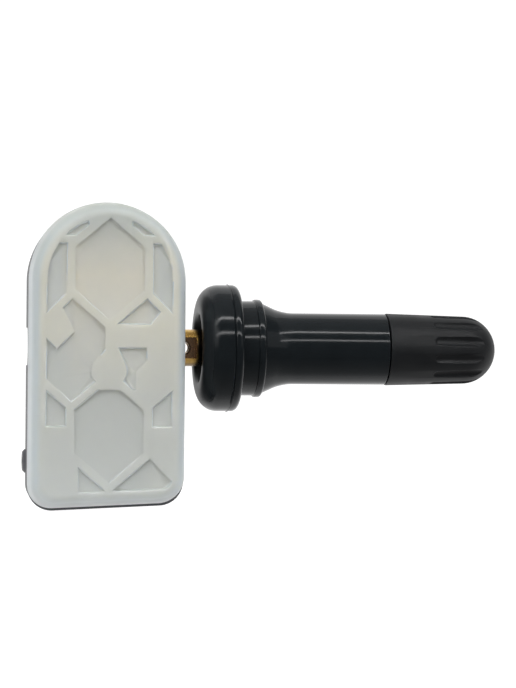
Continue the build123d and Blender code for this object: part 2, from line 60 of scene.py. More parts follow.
def pickVerts(piece, wanted):
    # leaves the piece in edit mode with only the wanted points picked
    pickObject(piece)
    bpy.ops.object.mode_set(mode="EDIT")
    bpy.ops.mesh.select_mode(type="VERT")
    bpy.ops.mesh.select_all(action="DESELECT")
    bpy.ops.object.mode_set(mode="OBJECT")
    for point in piece.data.vertices:
        point.select = wanted(point.co)
    bpy.ops.object.mode_set(mode="EDIT")


def near(place, reach=0.02 * mm):
    target = Vector(place)
    return lambda point: (point - target).length < reach


def traceLine(name, points):
    # one point is put down and drawn out along the line, as with the extrude key
    leaveEditing()
    bpy.ops.mesh.primitive_plane_add(size=mm, location=points[0])
    piece = bpy.context.object
    piece.name = name
    bpy.ops.object.transform_apply(location=True, rotation=True, scale=True)
    bpy.ops.object.mode_set(mode="EDIT")
    bpy.ops.mesh.select_all(action="SELECT")
    bpy.ops.mesh.merge(type="CENTER")
    for start, end in zip(points, points[1:]):
        step = Vector(end) - Vector(start)
        bpy.ops.mesh.extrude_vertices_move(TRANSFORM_OT_translate={"value": step})
    bpy.ops.object.mode_set(mode="OBJECT")
    return piece


def roundCorner(piece, place, size, segments):
    pickVerts(piece, near(place))
    bpy.ops.mesh.bevel(offset=size, offset_type="OFFSET", affect="VERTICES", segments=segments, profile=0.5)
    bpy.ops.object.mode_set(mode="OBJECT")


def closeLoop(piece):
    # joins the two loose ends of a traced line
    pickObject(piece)
    used = [0] * len(piece.data.vertices)
    for edge in piece.data.edges:
        for end in edge.vertices:
            used[end] += 1
    for point in piece.data.vertices:
        point.select = used[point.index] < 2
    bpy.ops.object.mode_set(mode="EDIT")
    bpy.ops.mesh.select_mode(type="VERT")
    bpy.ops.mesh.edge_face_add()
    bpy.ops.object.mode_set(mode="OBJECT")


def weldAll(piece, reach=0.002 * mm):
    pickObject(piece)
    bpy.ops.object.mode_set(mode="EDIT")
    bpy.ops.mesh.select_all(action="SELECT")
    bpy.ops.mesh.remove_doubles(threshold=reach)
    bpy.ops.mesh.normals_make_consistent(inside=False)
    bpy.ops.object.mode_set(mode="OBJECT")


def spinRound(piece, steps):
    # turns the traced line about the valve's axis
    pickObject(piece)
    bpy.ops.object.mode_set(mode="EDIT")
    bpy.ops.mesh.select_all(action="SELECT")
    bpy.ops.mesh.spin(steps=steps, angle=math.tau, center=(0, 0, 0), axis=(1, 0, 0))
    bpy.ops.object.mode_set(mode="OBJECT")
    weldAll(piece)


def cutWith(piece, cutter):
    pickObject(piece)
    cut = piece.modifiers.new("cut", "BOOLEAN")
    cut.operation = "DIFFERENCE"
    cut.solver = "EXACT"
    cut.object = cutter
    bpy.ops.object.modifier_apply(modifier=cut.name)
    bpy.data.objects.remove(cutter)


def softenEdges(piece, width, angle):
    # edges too short to see would hold every softened edge to their own length, so they go first
    weldAll(piece, reach=0.03 * mm)
    soft = piece.modifiers.new("soft", "BEVEL")
    soft.width = width
    soft.segments = 2
    soft.limit_method = "ANGLE"
    soft.angle_limit = math.radians(angle)
    soft.use_clamp_overlap = True
    soft.miter_outer = "MITER_ARC"
    bpy.ops.object.modifier_apply(modifier=soft.name)
    weldAll(piece)


def smoothShade(piece, angle):
    pickObject(piece)
    bpy.ops.object.shade_smooth_by_angle(angle=math.radians(angle))


def evenNormals(piece):
    # large flat faces rule the shading, so it does not bend near their softened edges
    pickObject(piece)
    even = piece.modifiers.new("even", "WEIGHTED_NORMAL")
    even.keep_sharp = True
    even.weight = 50
    bpy.ops.object.modifier_apply(modifier=even.name)


def copyNode(node, name, flatten=False):
    # a welded copy of a CAD node, to be worked on
    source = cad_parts[node]
    leaveEditing()
    piece = source.copy()
    piece.data = source.data.copy()
    piece.name = name
    piece.parent = None
    bpy.context.scene.collection.objects.link(piece)
    pickObject(piece)
    piece.data.materials.clear()
    bpy.ops.object.mode_set(mode="EDIT")
    bpy.ops.mesh.select_all(action="SELECT")
    bpy.ops.mesh.remove_doubles(threshold=0.0005 * mm)
    if flatten:
        bpy.ops.mesh.dissolve_limited(angle_limit=math.radians(0.5))
    bpy.ops.object.mode_set(mode="OBJECT")
    return piece


def arcPoints(centre, radius, first, last, count):
    turn = math.radians(last - first) / count
    start = math.radians(first)
    return [
        (centre[0] + radius * math.cos(start + i * turn), centre[1] + radius * math.sin(start + i * turn))
        for i in range(count + 1)
    ]


def turnedLine(corners):
    # station and radius in mm become points in the plane of the axis
    return [(x * mm, 0, r * mm) for x, r in corners]


def fit(piece, body, node, material):
    piece.data.materials.clear()
    piece.data.materials.append(material)
    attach(piece, body)
    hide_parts(node)


# shader helpers

noiseLow, noiseHigh = 0.3, 0.7  # most of a noise's values lie between these
mixFirst, mixSecond, mixResult = 6, 7, 2  # the colour sockets of a Mix node


def toLinear(hexColor):
    values = [int(hexColor[i:i + 2], 16) / 255 for i in (1, 3, 5)]
    return [v / 12.92 if v <= 0.04045 else ((v + 0.055) / 1.055) ** 2.4 for v in values] + [1]


def feedNode(tree, node, inputs):
    # sets or links sockets: a hex value is a colour, and a node gives its first output
    for key, value in inputs.items():
        if isinstance(value, bpy.types.Node):
            value = value.outputs[0]
        if isinstance(value, str):
            value = toLinear(value)
        if isinstance(value, bpy.types.NodeSocket):
            tree.links.new(value, node.inputs[key])
        else:
            node.inputs[key].default_value = value


def addNode(tree, kind, inputs, stops=(), **settings):
    # a new node with its settings, the stops of its ramp, and its sockets
    made = tree.nodes.new(kind)
    for key, value in settings.items():
        setattr(made, key, value)
    if stops:
        marks = made.color_ramp.elements
        while len(marks) < len(stops):
            marks.new(0.5)
        for mark, (where, color) in zip(marks, stops):
            mark.position = where
            mark.color = toLinear(color)
    feedNode(tree, made, inputs)
    return made


def newMaterial(name, **sockets):
    # a material with its plain sockets set, and the coordinates that its patterns read
    material = bpy.data.materials.new(name)
    material.use_nodes = True
    tree = material.node_tree
    shader = tree.nodes["Principled BSDF"]
    feedNode(tree, shader, {key.replace("_", " "): value for key, value in sockets.items()})
    return material, tree, shader, addNode(tree, "ShaderNodeTexCoord", {}).outputs


def perMillimetre(size):
    # noise scale whose cells are about this many millimetres
    return 1000 / size


def bandScale(gap):
    # scale of a wave texture whose bands are this many millimetres apart
    return perMillimetre(gap) / math.tau * 0.3


# materials, with places along the valve (X), the depth (Y) and the height (Z) of the case in mm

lidTone = {
    "floorStart": -8.75, "floorFull": -8.6, "foot": -24, "crown": 22, "middle": -21.8, "warmEnd": 5.0,
    "coolStart": 7.5, "edgeRound": 0.12,
}


def makeLidNylon(s):
    # laser-clear polyamide, moulded: milky grey-white, with pocket floors greyer where the wall is thin
    material, tree, shader, coords = newMaterial(
        "milky_polyamide_moulded", IOR=1.53, Subsurface_Weight=0.9, Subsurface_Scale=1.7 * mm,
        Subsurface_Radius=(1.0, 1.0, 0.9))
    spot = addNode(tree, "ShaderNodeSeparateXYZ", {"Vector": coords["Object"]}).outputs
    facing = addNode(tree, "ShaderNodeSeparateXYZ", {"Vector": coords["Normal"]}).outputs
    flat = addNode(tree, "ShaderNodeMapRange", {
        "Value": facing["Y"], "From Min": -0.98, "From Max": -0.8, "To Min": 1, "To Max": 0})
    sunk = addNode(tree, "ShaderNodeMapRange", {
        "Value": spot["Y"], "From Min": s["floorStart"] * mm, "From Max": s["floorFull"] * mm})
    pocket = addNode(tree, "ShaderNodeMath", {0: flat, 1: sunk}, operation="MULTIPLY")
    height = addNode(tree, "ShaderNodeMapRange", {
        "Value": spot["Z"], "From Min": s["foot"] * mm, "From Max": s["crown"] * mm})
    land = addNode(tree, "ShaderNodeValToRGB", {"Fac": height}, [
        (0.0, "#d0d4d1"), (0.35, "#d4d6d0"), (0.6, "#dfded2"), (0.8, "#dbdace"), (0.93, "#c9cdc8")])
    floor = addNode(tree, "ShaderNodeValToRGB", {"Fac": height}, [
        (0.0, "#ccd0cd"), (0.35, "#cfd2cd"), (0.55, "#d9d9d0"), (0.75, "#e3dfd0"), (0.93, "#cdd0ca")])
    # painted light and shade: walls that face up are painted darker and those facing down lighter, standing
    # in for light that spreads inside the plastic
    upward = addNode(tree, "ShaderNodeMapRange", {"Value": facing["Z"], "From Min": -1, "From Max": 1})
    edge = addNode(tree, "ShaderNodeValToRGB", {"Fac": upward}, [
        (0.0, "#eef2f2"), (0.5, "#d3dbdd"), (1.0, "#b7bcb5")])
    skin = addNode(tree, "ShaderNodeMix", {
        "Factor": flat, mixFirst: edge, mixSecond: land}, data_type="RGBA").outputs[mixResult]
    # the cell behind the lid warms the middle, so floors out at the sides are cooler
    across = addNode(tree, "ShaderNodeMath", {0: spot["X"], 1: s["middle"] * mm}, operation="SUBTRACT")
    aside = addNode(tree, "ShaderNodeMath", {0: across}, operation="ABSOLUTE")
    side = addNode(tree, "ShaderNodeMapRange", {
        "Value": aside, "From Min": s["warmEnd"] * mm, "From Max": s["coolStart"] * mm})
    cooled = addNode(tree, "ShaderNodeMix", {
        "Factor": side, mixFirst: floor, mixSecond: "#d1d4cf"}, data_type="RGBA").outputs[mixResult]
    body = addNode(tree, "ShaderNodeMix", {
        "Factor": pocket, mixFirst: skin, mixSecond: cooled}, data_type="RGBA").outputs[mixResult]
    cloud = addNode(tree, "ShaderNodeTexNoise", {
        "Vector": coords["Object"], "Scale": perMillimetre(5.0), "Detail": 3, "Roughness": 0.6})
    blotch = addNode(tree, "ShaderNodeMapRange", {
        "Value": cloud, "From Min": noiseLow, "From Max": noiseHigh, "To Max": 0.12})
    mottled = addNode(tree, "ShaderNodeMix", {
        "Factor": blotch, mixFirst: body, mixSecond: "#b9bdbb"}, data_type="RGBA").outputs[mixResult]
    rough = addNode(tree, "ShaderNodeMapRange", {
        "Value": cloud, "From Min": noiseLow, "From Max": noiseHigh, "To Min": 0.36, "To Max": 0.46})
    # the mould leaves the pockets' edges a little round
    edges = addNode(tree, "ShaderNodeBevel", {"Radius": s["edgeRound"] * mm}, samples=8)
    grain = addNode(tree, "ShaderNodeTexNoise", {
        "Vector": coords["Object"], "Scale": perMillimetre(0.18), "Detail": 2})
    relief = addNode(tree, "ShaderNodeBump", {
        "Height": grain, "Distance": 0.006 * mm, "Strength": 0.5, "Normal": edges})
    feedNode(tree, shader, {"Base Color": mottled, "Roughness": rough, "Normal": relief})
    return material


rubberTone = {
    "specular": 0.2, "coarse": 0.28, "coarseFull": -7.0, "coarseEnd": -5.2, "sheen": 0.8, "sheenStart": 3.8,
    "sheenFull": 5.4, "noseFull": -7.5, "noseEnd": -6.2,
}


def makeStemRubber(s):
    # EPDM rubber from a polished mould: blue-black with sharp thin lights and a faint skin texture
    material, tree, shader, coords = newMaterial(
        "epdm_rubber_moulded", IOR=1.52, Specular_IOR_Level=s["specular"])
    bloom = addNode(tree, "ShaderNodeTexNoise", {
        "Vector": coords["Object"], "Scale": perMillimetre(4.0), "Detail": 4, "Roughness": 0.6})
    color = addNode(tree, "ShaderNodeValToRGB", {"Fac": bloom}, [(0.3, "#13181b"), (0.7, "#171c1f")])
    # the nose comes from a coarser part of the mould than the stem
    spot = addNode(tree, "ShaderNodeSeparateXYZ", {"Vector": coords["Object"]}).outputs
    coarse = addNode(tree, "ShaderNodeMapRange", {
        "Value": spot["X"], "From Min": s["coarseFull"] * mm, "From Max": s["coarseEnd"] * mm,
        "To Min": s["coarse"], "To Max": 0})
    polish = addNode(tree, "ShaderNodeMapRange", {
        "Value": bloom, "From Min": noiseLow, "From Max": noiseHigh, "To Min": 0.1, "To Max": 0.14})
    rough = addNode(tree, "ShaderNodeMath", {0: polish, 1: coarse}, operation="ADD")
    # painted reflection: the specular level is raised on the upper shoulder of the nose, standing in for
    # the pale lid reflected there
    above = addNode(tree, "ShaderNodeMapRange", {
        "Value": spot["Z"], "From Min": s["sheenStart"] * mm, "From Max": s["sheenFull"] * mm,
        "To Max": s["sheen"]})
    nose = addNode(tree, "ShaderNodeMapRange", {
        "Value": spot["X"], "From Min": s["noseFull"] * mm, "From Max": s["noseEnd"] * mm,
        "To Min": 1, "To Max": 0})
    paintedSheen = addNode(tree, "ShaderNodeMath", {
        0: above, 1: nose, 2: s["specular"]}, operation="MULTIPLY_ADD")
    skin = addNode(tree, "ShaderNodeTexNoise", {
        "Vector": coords["Object"], "Scale": perMillimetre(0.9), "Detail": 3})
    relief = addNode(tree, "ShaderNodeBump", {"Height": skin, "Distance": 0.01 * mm, "Strength": 0.35})
    feedNode(tree, shader, {
        "Base Color": color, "Roughness": rough, "Specular IOR Level": paintedSheen, "Normal": relief})
    return material


def makeCapPlastic():
    # glass-free nylon from a spark-eroded mould: satin black with a broad dull light
    material, tree, shader, coords = newMaterial("nylon_satin_moulded", IOR=1.53, Specular_IOR_Level=0.26)
    shade = addNode(tree, "ShaderNodeTexNoise", {
        "Vector": coords["Object"], "Scale": perMillimetre(3.0), "Detail": 3, "Roughness": 0.55})
    color = addNode(tree, "ShaderNodeValToRGB", {"Fac": shade}, [(0.3, "#0f1114"), (0.7, "#151719")])
    rough = addNode(tree, "ShaderNodeMapRange", {
        "Value": shade, "From Min": noiseLow, "From Max": noiseHigh, "To Min": 0.44, "To Max": 0.54})
    grain = addNode(tree, "ShaderNodeTexNoise", {
        "Vector": coords["Object"], "Scale": perMillimetre(0.12), "Detail": 2})
    relief = addNode(tree, "ShaderNodeBump", {"Height": grain, "Distance": 0.008 * mm, "Strength": 0.6})
    feedNode(tree, shader, {"Base Color": color, "Roughness": rough, "Normal": relief})
    return material


def makeCaseNylon():
    # glass-filled nylon, moulded: dark grey with a dry grain and faint flow streaks
    material, tree, shader, coords = newMaterial("glass_filled_nylon_moulded", IOR=1.55)
    along = addNode(tree, "ShaderNodeMapping", {"Vector": coords["Object"], "Scale": (1, 1, 0.25)})
    flow = addNode(tree, "ShaderNodeTexNoise", {
        "Vector": along, "Scale": perMillimetre(1.2), "Detail": 4, "Roughness": 0.6})
    color = addNode(tree, "ShaderNodeValToRGB", {"Fac": flow}, [(0.3, "#4a4b4e"), (0.7, "#56575b")])
    rough = addNode(tree, "ShaderNodeMapRange", {
        "Value": flow, "From Min": noiseLow, "From Max": noiseHigh, "To Min": 0.46, "To Max": 0.6})
    grain = addNode(tree, "ShaderNodeTexNoise", {
        "Vector": coords["Object"], "Scale": perMillimetre(0.2), "Detail": 3})
    relief = addNode(tree, "ShaderNodeBump", {"Height": grain, "Distance": 0.012 * mm, "Strength": 0.6})
    feedNode(tree, shader, {"Base Color": color, "Roughness": rough, "Normal": relief})
    return material


brassTone = {
    "milled": 0.9, "bonded": 0.95, "neckStart": -8.0, "neckFull": -7.6, "bareStart": 20.8, "bareFull": 21.2,
    "paintedUnderShade": 0.9, "tailFull": -5.4, "tailEnd": -5.0, "ringGap": 0.25,
}


def makeTurnedBrass(s):
    # turned and milled brass: warm gold with fine lathe rings along the axis, and painted shade on the
    # front flat, under the tail and in the rubber's recess
    material, tree, shader, coords = newMaterial("brass_turned", Metallic=1.0)
    stain = addNode(tree, "ShaderNodeTexNoise", {
        "Vector": coords["Object"], "Scale": perMillimetre(1.6), "Detail": 4, "Roughness": 0.6})
    gold = addNode(tree, "ShaderNodeValToRGB", {"Fac": stain}, [
        (0.3, "#a9803f"), (0.55, "#cda85f"), (0.75, "#dcbb74")])
    spot = addNode(tree, "ShaderNodeSeparateXYZ", {"Vector": coords["Object"]}).outputs
    facing = addNode(tree, "ShaderNodeSeparateXYZ", {"Vector": coords["Normal"]}).outputs
    # painted shade: the milled flat that faces the front is mixed toward a dull brown
    milled = addNode(tree, "ShaderNodeMapRange", {
        "Value": facing["Y"], "From Min": -0.99, "From Max": -0.93, "To Min": s["milled"], "To Max": 0})
    frontFlatShaded = addNode(tree, "ShaderNodeMix", {
        "Factor": milled, mixFirst: gold, mixSecond: "#977761"}, data_type="RGBA").outputs[mixResult]
    # painted shade: the underside of the tail is darkened toward brown
    low = addNode(tree, "ShaderNodeMapRange", {
        "Value": facing["Z"], "From Min": -0.88, "From Max": -0.57, "To Min": s["paintedUnderShade"], "To Max": 0})
    tail = addNode(tree, "ShaderNodeMapRange", {
        "Value": spot["X"], "From Min": s["tailFull"] * mm, "From Max": s["tailEnd"] * mm,
        "To Min": 1, "To Max": 0})
    under = addNode(tree, "ShaderNodeMath", {0: low, 1: tail}, operation="MULTIPLY")
    paintedUnderShade = addNode(tree, "ShaderNodeMix", {
        "Factor": under, mixFirst: frontFlatShaded, mixSecond: "#615038"}, data_type="RGBA").outputs[mixResult]
    # painted shade: the barrel is darkened to near black from the neck, in the rubber's recess, to the
    # start of the thread
    neck = addNode(tree, "ShaderNodeMapRange", {
        "Value": spot["X"], "From Min": s["neckStart"] * mm, "From Max": s["neckFull"] * mm,
        "To Max": s["bonded"]})
    bare = addNode(tree, "ShaderNodeMapRange", {
        "Value": spot["X"], "From Min": s["bareStart"] * mm, "From Max": s["bareFull"] * mm,
        "To Min": s["bonded"], "To Max": 0})
    bonded = addNode(tree, "ShaderNodeMath", {0: neck, 1: bare}, operation="MINIMUM")
    color = addNode(tree, "ShaderNodeMix", {
        "Factor": bonded, mixFirst: paintedUnderShade, mixSecond: "#17120c"}, data_type="RGBA").outputs[mixResult]
    rough = addNode(tree, "ShaderNodeMapRange", {
        "Value": stain, "From Min": noiseLow, "From Max": noiseHigh, "To Min": 0.3, "To Max": 0.2})
    # real lathe rings are about 0.08 mm apart, drawn wider so that they show
    rings = addNode(tree, "ShaderNodeTexWave", {
        "Vector": coords["Object"], "Scale": bandScale(s["ringGap"]), "Distortion": 0.6, "Detail": 1.0},
        bands_direction="X")
    relief = addNode(tree, "ShaderNodeBump", {
        "Height": rings.outputs["Fac"], "Distance": 0.004 * mm, "Strength": 0.5})
    feedNode(tree, shader, {"Base Color": color, "Roughness": rough, "Normal": relief})
    return material


def makePlatedMetal(name, dark, light, size, rough, stretch):
    # plated sheet or bar: grey metal with a fine drawn grain
    material, tree, shader, coords = newMaterial(name, Metallic=1.0)
    drawn = addNode(tree, "ShaderNodeMapping", {"Vector": coords["Object"], "Scale": stretch})
    grain = addNode(tree, "ShaderNodeTexNoise", {
        "Vector": drawn, "Scale": perMillimetre(size), "Detail": 3, "Roughness": 0.6})
    color = addNode(tree, "ShaderNodeValToRGB", {"Fac": grain}, [(0.3, dark), (0.7, light)])
    haze = addNode(tree, "ShaderNodeMapRange", {
        "Value": grain, "From Min": noiseLow, "From Max": noiseHigh,
        "To Min": rough - 0.06, "To Max": rough + 0.06})
    relief = addNode(tree, "ShaderNodeBump", {"Height": grain, "Distance": 0.004 * mm, "Strength": 0.5})
    feedNode(tree, shader, {"Base Color": color, "Roughness": haze, "Normal": relief})
    return material


def makeMatte(name, dark, light, size, rough, depth, ior=1.5):
    # moulded, fired or foamed stock: one colour broken up by its own grain
    material, tree, shader, coords = newMaterial(name, IOR=ior)
    grain = addNode(tree, "ShaderNodeTexNoise", {
        "Vector": coords["Object"], "Scale": perMillimetre(size), "Detail": 4, "Roughness": 0.6})
    color = addNode(tree, "ShaderNodeValToRGB", {"Fac": grain}, [(0.3, dark), (0.7, light)])
    haze = addNode(tree, "ShaderNodeMapRange", {
        "Value": grain, "From Min": noiseLow, "From Max": noiseHigh,
        "To Min": rough - 0.06, "To Max": rough + 0.06})
    relief = addNode(tree, "ShaderNodeBump", {"Height": grain, "Distance": depth * mm, "Strength": 0.6})
    feedNode(tree, shader, {"Base Color": color, "Roughness": haze, "Normal": relief})
    return material


def makeWinding():
    # enamelled copper wire wound side by side: painted highlights across the coil, a bright band on each
    # turn and darker between turns
    material, tree, shader, coords = newMaterial("enamelled_copper_wound", Metallic=1.0)
    wave = addNode(tree, "ShaderNodeTexWave", {
        "Vector": coords["Object"], "Scale": bandScale(0.2), "Distortion": 0.2}, bands_direction="Z")
    turns = wave.outputs["Fac"]
    color = addNode(tree, "ShaderNodeValToRGB", {"Fac": turns}, [(0.0, "#6d3217"), (1.0, "#c8713f")])
    rough = addNode(tree, "ShaderNodeMapRange", {"Value": turns, "To Min": 0.45, "To Max": 0.25})
    relief = addNode(tree, "ShaderNodeBump", {"Height": turns, "Distance": 0.03 * mm, "Strength": 1.0})
    feedNode(tree, shader, {"Base Color": color, "Roughness": rough, "Normal": relief})
    return material


lidNylon = makeLidNylon(lidTone)
stemRubber = makeStemRubber(rubberTone)
capPlastic = makeCapPlastic()
caseNylon = makeCaseNylon()
turnedBrass = makeTurnedBrass(brassTone)
platedSteel = makePlatedMetal("steel_zinc_plated", "#8f9092", "#c3c4c4", 0.6, 0.3, (1, 1, 0.2))
nickelStrip = makePlatedMetal("nickel_strip_rolled", "#9d9a92", "#c9c6bd", 0.5, 0.34, (1, 1, 0.15))
sealRubber = makeMatte("nitrile_rubber_moulded", "#17181a", "#232426", 0.8, 0.6, 0.01)
silicone = makeMatte("silicone_rubber_moulded", "#8d9091", "#a3a6a6", 1.2, 0.45, 0.01, 1.41)
foamPad = makeMatte("polyurethane_foam_cut", "#2b2b2c", "#4a4a4b", 0.35, 0.85, 0.08)
boardMask = makeMatte("glass_epoxy_board_coated", "#0f3a22", "#18512f", 0.9, 0.35, 0.006)
chipEpoxy = makeMatte("epoxy_package_moulded", "#18181a", "#252527", 0.3, 0.55, 0.006)
ferrite = makeMatte("ferrite_sintered", "#2a2b2d", "#3d3e40", 0.4, 0.6, 0.012)
ceramic = makeMatte("ceramic_fired", "#8d7553", "#b39a74", 0.3, 0.5, 0.006)
copperWinding = makeWinding()
print("materials ready")


# rubber stem: bulb, rim groove, lip, cone and stem, turned from one line

stemSize = {
    "bore": 3.85, "end": 21.3, "stem": 5.4, "endRound": 0.16,
    "coneEnd": 5.36, "coneRound": 1.6, "coneStart": 2.15, "coneRadius": 6.89,
    "lipStart": 0.95, "lipEnd": 2.0, "lip": 7.42, "lipRound": 0.3,
    "groove": 7.18, "seat": -1.5, "seatRound": 0.25, "bulb": 9.57, "heelRound": 0.9,
    "flashX": -3.05, "flashHalf": 0.13, "flash": 9.69, "partingX": -2.86, "partingDepth": 0.1,
    "front": -7.5, "noseRound": 3.0, "recess": 5.2, "recessRound": 0.45, "recessFloor": 4.7, "floorX": -4.1,
}


def makeStem(s):
    corners = [
        (s["floorX"], s["bore"]), (s["end"], s["bore"]), (s["end"], s["stem"]), (s["coneEnd"], s["stem"]),
        (s["coneStart"], s["coneRadius"]), (s["lipEnd"], s["lip"]), (s["lipStart"], s["lip"]),
        (s["lipStart"], s["groove"]), (s["seat"], s["groove"]), (s["seat"], s["bulb"]),
        (s["partingX"] + s["flashHalf"], s["bulb"]), (s["partingX"], s["bulb"] - s["partingDepth"]),
        (s["flashX"], s["flash"]), (s["flashX"] - s["flashHalf"], s["bulb"]),
        (s["front"], s["bulb"]), (s["front"], s["recess"]), (s["floorX"], s["recessFloor"]),
    ]
    stem = traceLine("rubberStem", turnedLine(corners))
    closeLoop(stem)
    rounds = [
        ("end", "stem", "endRound", 4), ("coneEnd", "stem", "coneRound", 8),
        ("lipEnd", "lip", "lipRound", 3), ("lipStart", "lip", "lipRound", 3),
        ("seat", "groove", "seatRound", 4), ("seat", "bulb", "heelRound", 8),
        ("front", "bulb", "noseRound", 14), ("front", "recess", "recessRound", 5),
        ("floorX", "recessFloor", "recessRound", 5),
    ]
    for station, radius, size, segments in rounds:
        roundCorner(stem, (s[station] * mm, 0, s[radius] * mm), s[size] * mm, segments)
    spinRound(stem, steps=128)
    smoothShade(stem, angle=40)
    return stem


rubberStem = makeStem(stemSize)
fit(rubberStem, "sensor", "rubber_stem", stemRubber)
print("rubber stem made")


# cap: plain skirt, dome and round-ended flutes

capSize = {
    "mouth": 21.45, "mouthRadius": 5.48, "mouthRound": 0.14, "bore": 3.95, "mouthBore": 4.3, "lead": 0.35,
    "domeX": 33.35, "dome": 5.15, "floor": 32.2, "core": 2.4, "coreEnd": 34.4,
    "flutes": 12, "fluteRadius": 0.82, "fluteDepth": 0.56, "fluteStart": 28.9, "fluteTilt": 4.3,
    "fluteLength": 9.0, "edgeSoft": 0.06,
}


def makeFluteCutter(s):
    # a bar with one round end, laid along the skirt at the top of the cap
    leaveEditing()
    bpy.ops.mesh.primitive_uv_sphere_add(segments=24, ring_count=16, radius=s["fluteRadius"] * mm)
    cutter = bpy.context.object
    pickVerts(cutter, lambda point: point.z > 0.01 * mm)
    bpy.ops.transform.translate(value=(0, 0, s["fluteLength"] * mm))
    bpy.ops.object.mode_set(mode="OBJECT")
    cutter.rotation_euler = (0, math.radians(90 + s["fluteTilt"]), 0)
    skirtRise = (s["domeX"] - s["fluteStart"]) * math.tan(math.radians(s["fluteTilt"]))
    height = s["dome"] + s["fluteRadius"] - s["fluteDepth"] + skirtRise
    cutter.location = (s["fluteStart"] * mm, 0, height * mm)
    bpy.ops.object.transform_apply(location=True, rotation=True, scale=True)
    return cutter


def makeCap(s):
    dome = arcPoints((s["domeX"], 0), s["dome"], 90, 0, 16)
    corners = [
        (s["coreEnd"], 0), (s["coreEnd"], s["core"]), (s["floor"], s["core"]), (s["floor"], s["bore"]),
        (s["mouth"] + s["lead"], s["bore"]), (s["mouth"], s["mouthBore"]), (s["mouth"], s["mouthRadius"]),
        *dome,
    ]
    cap = traceLine("dustCap", turnedLine(corners))
    roundCorner(cap, (s["mouth"] * mm, 0, s["mouthRadius"] * mm), s["mouthRound"] * mm, segments=4)
    spinRound(cap, steps=96)
    first = makeFluteCutter(s)
    for index in range(s["flutes"]):
        turned = first.copy()
        turned.data = first.data.copy()
        bpy.context.scene.collection.objects.link(turned)
        turned.rotation_euler = (math.tau * (index + 0.5) / s["flutes"], 0, 0)
        pickObject(turned)
        bpy.ops.object.transform_apply(location=True, rotation=True, scale=True)
        cutWith(cap, turned)
    bpy.data.objects.remove(first)
    softenEdges(cap, s["edgeSoft"] * mm, angle=22)
    smoothShade(cap, angle=35)
    return cap


dustCap = makeCap(capSize)
fit(dustCap, "cap", "cap", capPlastic)
print("cap made")


# brass insert: milled tail with its air hole, bonded barrel, thread rings at the mouth

brassSize = {
    "tailEnd": -14.25, "tail": 2.8, "collarX": -5.1, "collar": 3.85, "collarLead": 0.3, "threadStart": 21.3,
    "mouth": 31.0, "pitch": 0.794, "threadDepth": 0.4, "bore": 2.65, "seatTop": 23.8, "seatFoot": 22.6,
    "chamber": 1.95, "chamberEnd": 12.0, "passage": 0.8, "holeX": -9.85, "hole": 0.95, "holeLead": 0.2,
    "screwEnd": -11.25, "screw": 1.2, "slotStart": -12.3, "slotEnd": -7.9, "slotHeight": 3.2,
    "slotOver": 1.2, "web": 2.44, "weld": 0.01,
}


def makeBrass(s):
    thread = []
    turns = int((s["mouth"] - s["threadStart"]) / s["pitch"])
    for index in range(turns):
        start = s["threadStart"] + index * s["pitch"]
        thread.append((start, s["collar"]))
        thread.append((start + s["pitch"] / 2, s["collar"] - s["threadDepth"]))
    corners = [
        (s["screwEnd"], 0), (s["screwEnd"], s["screw"]), (s["tailEnd"], s["screw"]),
        (s["tailEnd"], s["tail"]), (s["collarX"], s["tail"]), (s["collarX"], s["collar"] - s["collarLead"]),
        (s["collarX"] + s["collarLead"], s["collar"]), *thread,
        (s["mouth"], s["collar"] - s["threadDepth"]), (s["mouth"], s["bore"]),
        (s["seatTop"], s["bore"]), (s["seatFoot"], s["chamber"]),
        (s["chamberEnd"], s["chamber"]), (s["chamberEnd"], s["passage"]),
        (s["holeX"], s["passage"]), (s["holeX"], 0),
    ]
    brass = traceLine("brassInsert", turnedLine(corners))
    spinRound(brass, steps=72)
    face = s["web"] / 2
    depth = s["tail"] * s["slotOver"] - face
    for side in (-1, 1):
        leaveEditing()
        bpy.ops.mesh.primitive_cube_add(size=1, location=(
            (s["slotStart"] + s["slotEnd"]) / 2 * mm, side * (face + depth / 2) * mm, 0))
        slot = bpy.context.object
        slot.scale = ((s["slotEnd"] - s["slotStart"]) * mm, depth * mm, s["slotHeight"] * mm)
        bpy.ops.object.transform_apply(location=True, rotation=True, scale=True)
        cutWith(brass, slot)
    # the air hole goes through the web, with its edge broken by a countersink at each face
    lead = s["holeLead"]
    wide = s["hole"] + 2 * lead
    drill = traceLine("airHole", turnedLine([
        (-face - lead, 0), (-face - lead, wide), (lead - face, s["hole"]),
        (face - lead, s["hole"]), (face + lead, wide), (face + lead, 0),
    ]))
    spinRound(drill, steps=40)
    drill.rotation_euler = (0, 0, math.radians(90))
    drill.location = (s["holeX"] * mm, 0, 0)
    bpy.ops.object.transform_apply(location=True, rotation=True, scale=True)
    cutWith(brass, drill)
    weldAll(brass, s["weld"] * mm)
    smoothShade(brass, angle=35)
    evenNormals(brass)
    return brass


brassInsert = makeBrass(brassSize)
fit(brassInsert, "sensor", "brass_insert", turnedBrass)
print("brass insert made")


# lid: rounded tray, its rib pattern cut with what the CAD lid leaves open

caseSize = {
    "x": -21.78, "half": 11.73, "arch": 9.9, "foot": 23.7, "slope": 2.7, "corner": 3.7,
    "face": -9.0, "joint": -4.2, "rounding": 1.74, "draft": 5.0, "wall": 1.3, "lidWall": 1.3,
    "flatInset": 2.2, "pocketRoom": 0.6, "seam": 0.02, "overrun": 0.5, "patternReach": 1.5, "weld": 0.03,
}


